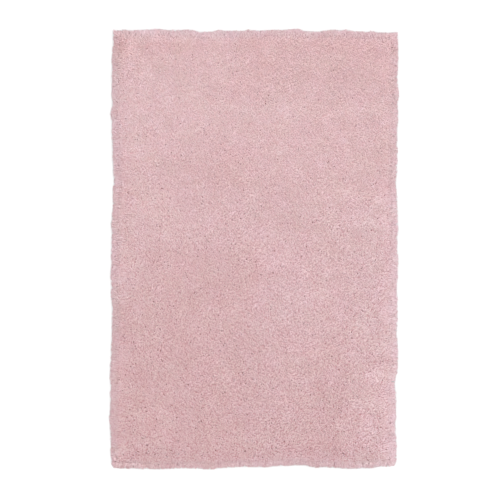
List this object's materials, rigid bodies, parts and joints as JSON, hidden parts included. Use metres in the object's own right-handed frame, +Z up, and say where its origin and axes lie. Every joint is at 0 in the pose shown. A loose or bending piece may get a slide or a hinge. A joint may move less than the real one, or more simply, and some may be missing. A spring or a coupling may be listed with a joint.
{
  "type": "shag rug",
  "caption": "Rectangular shag rug lying flat: one thick field of soft long pile, with tapering locks of pile round its rim.",
  "frame": {"origin": "middle of the underside, on the floor", "axes": "+Z up from the floor, +Y along the rug's length, +X across its width"},
  "size_m": [1.3232, 2.0148, 0.0349],
  "materials": {
    "pile_yarn": "soft matt long pile in pale pink, with a faint sheen where the yarn lies over"
  },
  "bodies": {
    "root": {"shag_pile": "pile_yarn"}
  },
  "joints": []
}
